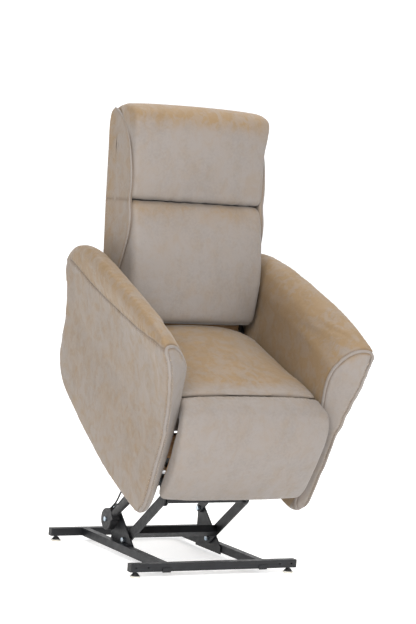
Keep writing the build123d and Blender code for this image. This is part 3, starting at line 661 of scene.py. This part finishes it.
head_roll = back(np.array([-244, -120, 0, 120, 244]), np.full(5, 58.0), np.full(5, 735.0))
sew(head, head_roll, depth=0.002, width=0.003, pucker=0.0003)

# Painted shade where the cushions and the side panels meet, added to the seam mark.
for piece in (lumbar, head, *side_panels):
    for side in (-1, 1):
        meeting = smooth(back(side * PANEL_X, EDGE[:, 0], EDGE[:, 1]), 240, False)
        near, _ = distances(points_of(piece), meeting, 0.03)
        mark(piece, "seam", 0.8 * np.exp(-(near / 0.007) ** 2))

upholstery = [seat, pad, lumbar, head, shell, skirt, arm, arm_left, welt, welt_left,
              *side_panels, *edge_piping]
arm_runs = [(arm, TOP_SEAM, 0.006, False), (arm, LOOP[:11], 0.009, False), (arm, LOOP[1:11], -0.009, False)]
arm_thread = stitches("arm_stitching_right", arm_runs)
arm_thread_left = mirrored(arm_thread, "arm_stitching_left")
seat_thread = stitches("seat_front_stitching", [(pad, seam_pad, 0.006, False)])
back_thread = stitches("back_stitching", [(shell, shell_seam, 0.006, False),
                                          (head, head_roll, 0.006, False)])
threads = [arm_thread, arm_thread_left, seat_thread, back_thread]

# --- materials ---------------------------------------------------------------------------------------------
class Recipe:
    """A node material round one Principled shader, patterned over the piece's own coordinates."""

    def __init__(self, name, rough=0.5, metal=0.0, **plain):
        self.mat = bpy.data.materials.new(name)
        self.mat.use_nodes = True
        self.tree = self.mat.node_tree
        self.shader = self.tree.nodes["Principled BSDF"]
        self.shader.inputs["Roughness"].default_value = rough
        self.shader.inputs["Metallic"].default_value = metal
        for key, value in plain.items():
            self.shader.inputs[key.replace("_", " ")].default_value = value
        self.place = self.node("ShaderNodeTexCoord").outputs["Object"]

    def node(self, kind, **values):
        n = self.tree.nodes.new(kind)
        for key, value in values.items():
            setattr(n, key, value)
        return n

    def link(self, a, b):
        self.tree.links.new(a, b)

    def attribute(self, name, vector=False):
        n = self.node("ShaderNodeAttribute", attribute_name=name)
        return n.outputs["Vector" if vector else "Fac"]

    def stretched(self, scale):
        m = self.node("ShaderNodeMapping")
        m.inputs["Scale"].default_value = scale
        self.link(self.place, m.inputs["Vector"])
        return m.outputs["Vector"]

    def noise(self, scale, detail=3.0, rough=0.55, vector=None, twist=0.0):
        n = self.node("ShaderNodeTexNoise")
        n.inputs["Scale"].default_value = scale
        n.inputs["Detail"].default_value = detail
        n.inputs["Roughness"].default_value = rough
        n.inputs["Distortion"].default_value = twist
        self.link(vector or self.place, n.inputs["Vector"])
        return n.outputs["Fac"]

    def cells(self, scale, feature="F1"):
        n = self.node("ShaderNodeTexVoronoi", feature=feature)
        n.inputs["Scale"].default_value = scale
        self.link(self.place, n.inputs["Vector"])
        return n.outputs["Distance"]

    def wave(self, scale, direction="X", twist=0.0):
        n = self.node("ShaderNodeTexWave", bands_direction=direction)
        n.inputs["Scale"].default_value = scale
        n.inputs["Distortion"].default_value = twist
        self.link(self.place, n.inputs["Vector"])
        return n.outputs["Fac"]

    def span(self, value, a, b, low=0.0, high=1.0):
        n = self.node("ShaderNodeMapRange", interpolation_type="SMOOTHSTEP")
        for key, v in (("From Min", a), ("From Max", b), ("To Min", low), ("To Max", high)):
            n.inputs[key].default_value = v
        self.link(value, n.inputs["Value"])
        return n.outputs["Result"]

    def math(self, kind, a, b):
        n = self.node("ShaderNodeMath", operation=kind, use_clamp=True)
        for k, v in enumerate((a, b)):
            if isinstance(v, (int, float)):
                n.inputs[k].default_value = v
            else:
                self.link(v, n.inputs[k])
        return n.outputs[0]

    def mix(self, amount, a, b, kind="MIX"):
        n = self.node("ShaderNodeMix", data_type="RGBA", blend_type=kind)
        for k, v in ((0, amount), (6, a), (7, b)):
            if isinstance(v, (int, float)):
                n.inputs[k].default_value = v
            elif isinstance(v, tuple):
                n.inputs[k].default_value = (*v, 1)
            else:
                self.link(v, n.inputs[k])
        return n.outputs[2]

    def colour(self, value):
        self.link(value, self.shader.inputs["Base Color"])

    def rough(self, value):
        self.link(value, self.shader.inputs["Roughness"])

    def bump(self, height, distance, strength=1.0):
        n = self.node("ShaderNodeBump")
        n.inputs["Distance"].default_value = distance
        n.inputs["Strength"].default_value = strength
        self.link(height, n.inputs["Height"])
        if self.shader.inputs["Normal"].is_linked:
            self.link(self.shader.inputs["Normal"].links[0].from_socket, n.inputs["Normal"])
        self.link(n.outputs["Normal"], self.shader.inputs["Normal"])
        return self


def srgb(r, g, b):
    return tuple((c / 255 / 12.92) if c < 10.3 else ((c / 255 + 0.055) / 1.055) ** 2.4 for c in (r, g, b))


def leather():
    m = Recipe("faux_leather", 0.62, Sheen_Weight=0.12, Sheen_Roughness=0.5, Specular_IOR_Level=0.32)
    m.place = m.attribute("rest_place", True)
    blotch = m.noise(12.0, 4.0, 0.6, twist=0.4)
    patch = m.noise(34.0, 5.0, 0.62, m.stretched((1.0, 0.8, 0.7)), twist=0.6)
    speck = m.noise(120.0, 3.0, 0.6)
    # This mark turns the greige towards tan: painted warm light on tops and sides, together with the leather's own
    # tan patches.
    warm_light_and_tan = m.attribute("warm_light_and_tan")
    tan_and_light_mix = m.math("ADD", m.math("MULTIPLY", m.span(patch, 0.44, 0.66), 0.55),
                    m.math("MULTIPLY", m.span(blotch, 0.40, 0.65), 0.35))
    tan_and_light_mix = m.math("MULTIPLY", tan_and_light_mix, m.span(warm_light_and_tan, 0.0, 1.0, 0.28, 1.0))
    tan_and_light_mix = m.math("ADD", tan_and_light_mix, m.math("MULTIPLY", warm_light_and_tan, 0.62))
    colour = m.mix(tan_and_light_mix, srgb(127, 120, 115), srgb(127, 105, 77))
    cloud = m.span(m.noise(11.0, 4.0, 0.6, m.stretched((1.0, 1.2, 0.6))), 0.3, 0.7, 0.94, 1.04)
    fleck = m.span(speck, 0.3, 0.7, 0.95, 1.04)
    tone = m.math("MULTIPLY", cloud, fleck)
    tinted = m.mix(1.0, colour, tone, "MULTIPLY")
    # The seam mark darkens the sewn seams, and also holds painted shade where the cushions meet the side panels.
    tinted = m.mix(m.math("MULTIPLY", m.attribute("seam"), 0.55), tinted, srgb(96, 78, 60))
    # Painted shade darkens the arm's inner face towards the back.
    tinted = m.mix(m.math("MULTIPLY", m.attribute("painted_shade"), 0.40), tinted, srgb(92, 72, 50))
    m.colour(tinted)
    m.rough(m.span(patch, 0.3, 0.75, 0.56, 0.74))
    m.bump(m.cells(620.0), 0.00022, 0.45)
    m.bump(m.noise(240.0, 4.0, 0.6), 0.0007, 0.35)
    m.bump(m.noise(46.0, 5.0, 0.62, m.stretched((0.7, 1.0, 1.6))), 0.0030, 0.22)
    return m.mat


def powder_coat():
    m = Recipe("black_powder_coat", 0.46, Specular_IOR_Level=0.4)
    m.colour(m.mix(m.span(m.noise(30.0, 4.0), 0.35, 0.7), srgb(14, 15, 18), srgb(23, 25, 29)))
    m.rough(m.span(m.noise(60.0, 3.0), 0.3, 0.7, 0.40, 0.54))
    return m.bump(m.cells(900.0, "SMOOTH_F1"), 0.0002, 0.5).mat


def zinc():
    m = Recipe("blue_zinc", 0.32, 1.0)
    m.colour(m.mix(m.span(m.noise(90.0, 3.0), 0.3, 0.7), srgb(150, 172, 190), srgb(196, 203, 208)))
    m.rough(m.span(m.noise(220.0, 3.0), 0.3, 0.7, 0.24, 0.42))
    return m.bump(m.noise(700.0), 0.0001, 0.5).mat


def rod_steel():
    m = Recipe("polished_rod", 0.22, 1.0)
    m.colour(m.mix(m.span(m.noise(40.0, 3.0), 0.3, 0.7), srgb(176, 178, 182), srgb(205, 206, 208)))
    m.rough(m.span(m.noise(18.0, 4.0, vector=m.stretched((30, 1, 30))), 0.3, 0.7, 0.16, 0.34))
    return m.bump(m.noise(14.0, 4.0, vector=m.stretched((60, 2, 60))), 0.0001, 0.4).mat


def black_plastic(name="moulded_black_plastic", low=(17, 17, 18), high=(30, 30, 32)):
    m = Recipe(name, 0.5)
    m.colour(m.mix(m.span(m.noise(25.0, 3.0), 0.3, 0.7), srgb(*low), srgb(*high)))
    m.rough(m.span(m.noise(80.0), 0.3, 0.7, 0.42, 0.58))
    return m.bump(m.cells(1300.0, "SMOOTH_F1"), 0.00015, 0.6).mat


def glide():
    m = Recipe("pale_glide", 0.45)
    m.colour(m.mix(m.span(m.noise(50.0, 4.0), 0.35, 0.7), srgb(214, 211, 202), srgb(186, 180, 168)))
    m.rough(m.span(m.noise(90.0), 0.3, 0.7, 0.38, 0.6))
    return m.bump(m.noise(400.0), 0.0002, 0.5).mat


def timber():
    m = Recipe("plywood", 0.6)
    grain = m.noise(16.0, 6.0, 0.65, m.stretched((1, 12, 12)), 1.2)
    plies = m.wave(110.0, "Z", 0.6)
    colour = m.mix(m.span(grain, 0.3, 0.7), srgb(196, 158, 112), srgb(158, 118, 78))
    m.colour(m.mix(m.math("MULTIPLY", m.span(plies, 0.5, 0.9), 0.3), colour, srgb(120, 84, 52)))
    m.rough(m.span(grain, 0.3, 0.7, 0.52, 0.72))
    return m.bump(grain, 0.0006, 0.5).mat


def spring_wire():
    m = Recipe("oiled_spring_wire", 0.35, 0.9)
    m.colour(m.mix(m.span(m.noise(70.0, 4.0), 0.35, 0.7), srgb(70, 72, 76), srgb(112, 106, 98)))
    m.rough(m.span(m.noise(150.0), 0.3, 0.7, 0.28, 0.5))
    return m.bump(m.noise(500.0), 0.0001, 0.6).mat


def webbing():
    m = Recipe("woven_webbing", 0.85)
    over = m.wave(260.0, "X")
    across = m.wave(210.0, "Z")
    weave = m.math("MULTIPLY", over, across)
    stripe = m.span(m.wave(9.0, "Z"), 0.46, 0.54)
    colour = m.mix(stripe, srgb(46, 45, 46), srgb(92, 88, 82))
    m.colour(m.mix(m.span(weave, 0.1, 0.8), colour, srgb(128, 122, 114)))
    return m.bump(weave, 0.0006, 0.8).mat


def thread():
    m = Recipe("sewing_thread", 0.6, Sheen_Weight=0.2)
    m.place = m.attribute("rest_place", True)
    m.colour(m.mix(m.span(m.noise(300.0), 0.3, 0.7), srgb(150, 136, 118), srgb(176, 162, 142)))
    return m.bump(m.wave(900.0, "DIAGONAL"), 0.0002, 0.6).mat


def cable():
    return black_plastic("black_cable_jacket", (14, 14, 15), (24, 24, 26))


FINISHES = {"powder_coat": powder_coat(), "zinc": zinc(), "rod_steel": rod_steel(),
            "black_plastic": black_plastic(), "glide": glide(), "upholstery": leather(),
            "timber": timber(), "spring_wire": spring_wire(), "webbing": webbing(), "lead": cable()}
SLOT_OF = {entry["node"]: entry["material_slot"] for entry in frame["record"]["subparts"]}
for name, obj in nodes.items():
    finish = FINISHES[SLOT_OF[name]]
    for holder in obj.material_slots:
        holder.material = finish
for obj in upholstery:
    keep_rest(obj)
    for need in ("warm_light_and_tan", "seam", "painted_shade"):
        mark(obj, need, np.zeros(len(obj.data.vertices)))
    obj.data.materials.clear()
    obj.data.materials.append(FINISHES["upholstery"])
thread_finish = thread()
for obj in threads:
    keep_rest(obj)
    obj.data.materials.append(thread_finish)

# --- which body each piece moves with, and the CAD node it stands for --------------------------------------
over_hinge = ("carriage", "legrest", tuple(chair(0, 30, 466)), tuple(chair(0, -60, 390)))
settle(seat, "carriage")
settle(pad, None, join=over_hinge)
settle(lumbar, "back")
settle(head, "back")
for obj in (arm, arm_left):
    settle(obj, "carriage")
settle(shell, "back")
settle(skirt, "carriage")
for obj in (*side_panels, *edge_piping, back_thread):
    settle(obj, "back")
for obj in (welt, welt_left, arm_thread, arm_thread_left):
    settle(obj, "carriage")
settle(seat_thread, None, join=over_hinge)
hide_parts("seat_cushion")
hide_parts("legrest_pad")
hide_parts("lumbar_cushion")
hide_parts("head_cushion")
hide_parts("arm_right")
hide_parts("arm_left")
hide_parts("back_shell")
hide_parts("rear_skirt")
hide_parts("back_side_panels")
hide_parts("back_side_panels")

# --- floor, light and camera -------------------------------------------------------------------------------
FLOOR_NEAR, FLOOR_FAR, FLOOR_BEND, FLOOR_TOP, FLOOR_HALF = -14, 9, 4, 16, 22
CAMERA_AT = (-3.4453, -6.2799, 1.3756)
CAMERA_TURN, CAMERA_PITCH, CAMERA_ROLL, CAMERA_LENS = -28.842, -4.207, 4.261, 124.55


def backdrop():
    """A white floor that bends up into a wall behind the chair, turned to face the camera."""
    profile = [(FLOOR_NEAR, 0), (FLOOR_FAR, 0)]
    profile += [(FLOOR_FAR + FLOOR_BEND * math.sin(q), FLOOR_BEND - FLOOR_BEND * math.cos(q))
                for q in np.linspace(0, math.pi / 2, 14)[1:]]
    profile += [(FLOOR_FAR + FLOOR_BEND, FLOOR_TOP)]
    turn = math.radians(28.8)
    verts = []
    for x in (-FLOOR_HALF, FLOOR_HALF):
        for y, z in profile:
            verts.append((x * math.cos(turn) + y * math.sin(turn),
                          -x * math.sin(turn) + y * math.cos(turn), z))
    n = len(profile)
    obj = new_piece("studio_floor", verts, [(i, i + n, i + n + 1, i + 1) for i in range(n - 1)])
    obj.data.polygons.foreach_set("use_smooth", [True] * (n - 1))
    m = Recipe("studio_paper", 0.9)
    m.colour(m.mix(m.noise(2.0), (0.93, 0.93, 0.93), (0.90, 0.90, 0.90)))
    m.shader.inputs["Emission Color"].default_value = (1, 1, 1, 1)
    m.shader.inputs["Emission Strength"].default_value = 0.5
    obj.data.materials.append(m.mat)


def area_light(name, where, aim, size, watts, tint):
    data = bpy.data.lights.new(name, "AREA")
    data.shape = "RECTANGLE"
    data.size, data.size_y = size
    data.energy = watts
    data.color = tint
    obj = bpy.data.objects.new(name, data)
    bpy.context.scene.collection.objects.link(obj)
    obj.location = where
    obj.rotation_euler = (Vector(aim) - Vector(where)).to_track_quat("-Z", "Y").to_euler()


backdrop()
world = bpy.data.worlds.new("studio")
world.use_nodes = True
world.node_tree.nodes["Background"].inputs["Color"].default_value = (0.98, 0.99, 1.0, 1)
world.node_tree.nodes["Background"].inputs["Strength"].default_value = 0.45
bpy.context.scene.world = world
area_light("key", (-3.4, -4.2, 3.4), (0, 0, 0.8), (2.4, 2.4), 300, (1.0, 0.985, 0.96))
area_light("front", (1.6, -5.2, 1.5), (0, 0, 0.7), (3.0, 2.2), 80, (0.97, 0.985, 1.0))
area_light("top", (0.4, 0.6, 4.4), (0, 0, 0.6), (3.5, 3.5), 130, (1.0, 0.98, 0.95))
bpy.context.scene.view_settings.view_transform = "Standard"
bpy.context.scene.view_settings.look = "None"


def photo_camera():
    """The camera solved from the photo."""
    turn, pitch, roll = (math.radians(v) for v in (CAMERA_TURN, CAMERA_PITCH, CAMERA_ROLL))
    ahead = Vector((-math.sin(turn) * math.cos(pitch), math.cos(turn) * math.cos(pitch), math.sin(pitch)))
    level = Vector((math.cos(turn), math.sin(turn), 0))
    upward = level.cross(ahead)
    right = math.cos(roll) * level + math.sin(roll) * upward
    up = -math.sin(roll) * level + math.cos(roll) * upward
    data = bpy.data.cameras.new("photo_camera")
    data.sensor_width = 36
    data.lens = CAMERA_LENS
    data.clip_end = 60
    obj = bpy.data.objects.new("photo_camera", data)
    bpy.context.scene.collection.objects.link(obj)
    obj.matrix_world = Matrix.Translation(CAMERA_AT) @ Matrix(
        (right, up, -ahead)).transposed().to_4x4()
    bpy.context.scene.camera = obj


photo_camera()
